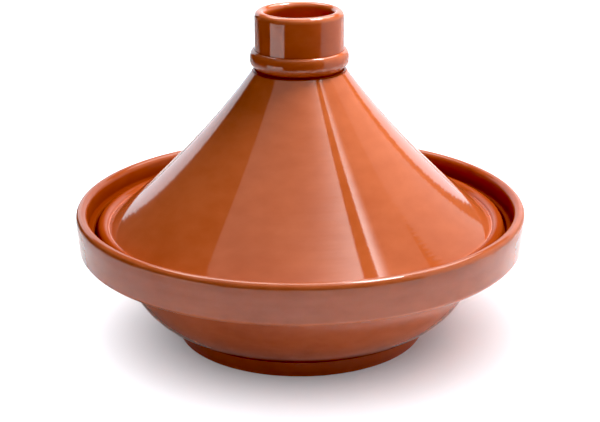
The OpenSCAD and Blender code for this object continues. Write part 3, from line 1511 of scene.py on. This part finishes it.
@dataclass(frozen=True)
class Eye:
    """The camera.

    Attributes:
        at: Its place.
        pitch: How far it looks down, in degrees.
        roll: How far it is turned about its own axis, in radians.
        lens: Focal length in millimetres.
        sensor: Width of its sensor in millimetres.
    """

    at: Place = (-0.00019, -1.050, 0.4605)
    pitch: float = 19.4815
    roll: float = 0.0055
    lens: float = 92.88
    sensor: float = 36.0

    def build(self) -> bpy.types.Object:
        """Makes the camera and has the scene use it.

        Returns:
            The camera.
        """
        data = bpy.data.cameras.new("camera")
        data.lens, data.sensor_width, data.sensor_fit = self.lens, self.sensor, "HORIZONTAL"
        camera = new_object("camera", data)
        pitch = math.radians(self.pitch)
        cos, sin = math.cos(self.roll), math.sin(self.roll)
        level, upright = Vector((1, 0, 0)), Vector((0, math.sin(pitch), math.cos(pitch)))
        right, up = level * cos - upright * sin, level * sin + upright * cos
        turn = Matrix((right, up, right.cross(up))).transposed().to_4x4()
        camera.matrix_world = Matrix.Translation(self.at) @ turn
        bpy.context.scene.camera = camera
        return camera


@dataclass
class Studio:
    """Pale floor, soft panels, lamps and camera.

    The camera sees the floor, which has its own light. The glaze and the clay see the table,
    a second floor just below it.

    Attributes:
        floor_x: How far the floor reaches to each side.
        floor_front: Where the floor ends towards the camera.
        floor_back: Where the floor ends behind the pot.
        floor_tone: Colour of the floor.
        floor_roughness: Roughness of the floor.
        table_drop: How far the table lies below the floor.
        table_sheen: Radiance of the table in reflections.
        tent_z: Height of the tent's roof over its front line.
        tent_y: Place of that line.
        tent_tilt: Slope of the roof, in degrees.
        aim_z: Height of the point that the square softbox faces.
        room_tint: Colour of the dim room that the pot sees.
        room_glow: Radiance of that room.
        backdrop_glow: Radiance of the white that the camera sees.
        black_level: Tone that is shown as black.
        eye: The camera.
    """

    floor_x: float = 0.80
    floor_front: float = -0.56
    floor_back: float = 2.2
    floor_tone: Colour = (0.90, 0.91, 0.95)
    floor_roughness: float = 0.9
    table_drop: float = 0.0002
    table_sheen: float = 0.12
    tent_z: float = 0.70
    tent_y: float = -0.09
    tent_tilt: float = 27.0
    aim_z: float = 0.12
    room_tint: Colour = (1.0, 0.93, 0.88)
    room_glow: float = 0.04
    backdrop_glow: float = 1.1
    black_level: float = 0.012
    eye: Eye = Eye()

    def build(self) -> None:
        """Makes the floors, the panels, the lamps, the room and the camera."""
        floor = self._floor("floor", 0.0, seen=True)
        self._floor("table", -self.table_drop, seen=False)
        alone, spared = bpy.data.collections.new("alone"), bpy.data.collections.new("spared")
        alone.objects.link(floor)
        spared.objects.link(floor)
        spared.collection_objects[0].light_linking.link_state = "EXCLUDE"
        for panel in self._panels():
            panel.build(spared)
            log.info("panel %s", panel.name)
        for lamp in self._lamps(alone, spared):
            lamp.build()
            log.info("lamp %s", lamp.name)
        self._room()
        self._grade()
        self.eye.build()

    def tent_point(self, x: float, y: float) -> Place:
        """Point on the tilted tent roof above (x, y)."""
        return x, y, self.tent_z + (y - self.tent_y) * math.tan(math.radians(self.tent_tilt))

    def roof(self, name: str, left: float, right: float, front: float, back: float,
             **light: object) -> Panel:
        """Plans a panel in the tent's roof.

        Args:
            name: Panel's name.
            left: Its left side.
            right: Its right side.
            front: Its side towards the camera.
            back: Its far side.
            light: The panel's remaining fields.

        Returns:
            The panel, not built yet.
        """
        sides = (left, front), (left, back), (right, back), (right, front)
        return Panel(name, tuple(self.tent_point(x, y) for x, y in sides), **light)

    def wall(self, name: str, start: Point, end: Point, high: float, **light: object) -> Panel:
        """Plans a panel that stands on the floor along the line from start to end."""
        corners = ((*start, 0.0), (*end, 0.0), (*end, high), (*start, high))
        return Panel(name, corners, **light)

    def patch(self, name: str, *corners: Point, **light: object) -> Panel:
        """Plans a bright patch that lies on the floor and shows only in the glaze."""
        above = tuple((x, y, MM) for x, y in corners)
        return Panel(name, above, mirrored_only=True, **light)

    def softbox(self, name: str, turn: float, rise: float, away: float, side: float,
                **light: object) -> Panel:
        """Plans a square panel that faces the pot.

        Args:
            name: Panel's name.
            turn: Direction round the pot in degrees, from the camera to its right.
            rise: Height above the horizon, in degrees.
            away: Distance from the pot.
            side: Side of the square.
            light: The panel's remaining fields.

        Returns:
            The panel, not built yet.
        """
        angle, height = math.radians(turn), math.radians(rise)
        out = Vector((math.sin(angle) * math.cos(height), -math.cos(angle) * math.cos(height),
                      math.sin(height)))
        across = Vector((math.cos(angle), math.sin(angle), 0))
        up = out.cross(across)
        centre = Vector((0, 0, self.aim_z)) + out * away
        corners = tuple(tuple(centre + (across * a + up * b) * side / 2)
                        for a, b in ((-1, -1), (1, -1), (1, 1), (-1, 1)))
        return Panel(name, corners, **light)

    def _panels(self) -> tuple[Panel, ...]:
        """Plans the soft panels.

        Returns:
            The panels, not built yet.
        """
        front_spot = HotSpot(4.0, self.tent_point(0.29, -0.185), reach=0.6, squeeze=3.6)
        right_spot = HotSpot(7.5, self.tent_point(0.335, -0.16), reach=0.13)
        return (
            self.roof("softbox_front", left=-0.46, right=0.27, front=-0.31, back=-0.10,
                      glow=0.7, hot=front_spot),
            self.roof("softbox_right", left=0.345, right=0.76, front=-0.31, back=0.14,
                      glow=0.6, hot=right_spot),
            Panel("side_right", ((0.76, -0.50, 0.0), (0.76, 1.45, 0.0), (0.76, 0.07, 0.82),
                                 (0.76, -0.50, 0.82)), glow=0.95),
            Panel("backdrop", ((-0.612, 1.25, 0.0), (0.572, 1.25, 0.0), (1.445, 1.25, 0.9),
                               (-1.44, 1.25, 0.9)), glow=1.6, tint=(0.95, 1.0, 1.1),
                  mirrored_only=True),
            self.softbox("softbox_key", turn=118, rise=66, away=1.3, side=0.45, glow=43.0),
            Panel("softbox_back", ((-0.6, 0.25, 1.2), (-0.6, 1.10, 1.2), (0.9, 1.10, 1.2),
                                   (0.9, 0.25, 1.2)), glow=6.0, mirrored_only=True),
            self.wall("window_left", (-0.851, -0.181), (-0.536, -0.686), high=0.065, glow=2.4),
            self.patch("patch_left", (-0.86, -0.183), (-0.54, -0.69), (-0.31, -0.40),
                       (-0.49, -0.105), glow=1.5),
            self.patch("patch_front", (-0.10, -0.74), (0.30, -0.62), (0.19, -0.43),
                       (-0.03, -0.43), glow=1.6),
        )

    def _lamps(self, alone: bpy.types.Collection,
               spared: bpy.types.Collection) -> tuple[Lamp, ...]:
        """Plans the lamps.

        Args:
            alone: Collection that has a lamp light only the floor.
            spared: Collection that has a lamp light all but the floor.

        Returns:
            The lamps, not built yet.
        """
        return (
            Lamp("floor_light", LampKind.SUN, at=(0, 0, 2.0), aim=(0, 0, 0), power=7.5,
                 spread=2.2, lit=alone),
            Lamp("fill_top", LampKind.AREA, at=(-0.14, -0.31, 1.36), aim=(0, 0, 0.1), power=1.6,
                 spread=0.5, lit=spared),
            Lamp("fill_left", LampKind.AREA, at=(-0.90, -0.80, 0.15), aim=(0, 0, 0.03),
                 power=0.7, spread=0.4, lit=spared),
        )

    def _floor(self, name: str, height: float, seen: bool) -> bpy.types.Object:
        """Makes a pale floor.

        Args:
            name: Object's name.
            height: Height of the floor.
            seen: Whether it's the floor that the camera sees, or the one that lights the pot.

        Returns:
            The floor.
        """
        material, nodes = new_material(name)
        path = nodes.add("ShaderNodeLightPath")
        shader = nodes.add("ShaderNodeBsdfPrincipled")
        nodes.feed_all(shader, {
            "Base Color": self.floor_tone,
            "Roughness": self.floor_roughness,
            "Specular IOR Level": 0.0,
            "Emission Color": WHITE,
            "Emission Strength": nodes.calc("MULTIPLY", path.outputs["Is Glossy Ray"],
                                            self.table_sheen),
        })
        nodes.show(shader)
        side, near, far = self.floor_x, self.floor_front, self.floor_back
        corners = ((-side, near, height), (side, near, height), (side, far, height),
                   (-side, far, height))
        floor = flat_card(name, corners, material)
        floor.visible_camera, floor.visible_shadow = seen, False
        floor.visible_diffuse = floor.visible_glossy = not seen
        return floor

    def _room(self) -> None:
        """Makes a room that is dim to the pot and plain white to the camera."""
        world = bpy.data.worlds.new("room")
        bpy.context.scene.world = world
        world.use_nodes = True
        nodes = Nodes(world.node_tree)
        path = nodes.add("ShaderNodeLightPath")
        dim, white = nodes.add("ShaderNodeBackground"), nodes.add("ShaderNodeBackground")
        nodes.feed_all(dim, {"Color": self.room_tint, "Strength": self.room_glow})
        nodes.feed(white.inputs["Strength"], self.backdrop_glow)
        choose = nodes.add("ShaderNodeMixShader")
        for socket, value in zip(choose.inputs, (path.outputs["Is Camera Ray"], dim.outputs[0],
                                                 white.outputs[0])):
            nodes.feed(socket, value)
        nodes.show(choose, "ShaderNodeOutputWorld")

    def _grade(self) -> None:
        """Sets how the picture's tones are shown."""
        view = bpy.context.scene.view_settings
        view.view_transform = "Standard"
        view.use_curve_mapping = True
        view.curve_mapping.black_level = (self.black_level,) * 3
        view.curve_mapping.update()


# ---------------------------------------------------------------- whole scene


def main() -> None:
    """Loads the frame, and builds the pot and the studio."""
    logging.basicConfig(level=logging.INFO, format="%(name)s %(message)s")
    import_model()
    effects = Effects(ThrowingLines().group(), GlazeDepth().group())
    for part in (FootedDish(), KnobbedLid()):
        for piece in part.pieces():
            made = piece.build()
            piece.dress(made, effects)
            log.info("piece %s on %s: %d faces", made.name, part.body.value,
                     len(made.data.polygons))
    Studio().build()


if __name__ == "__main__":
    main()
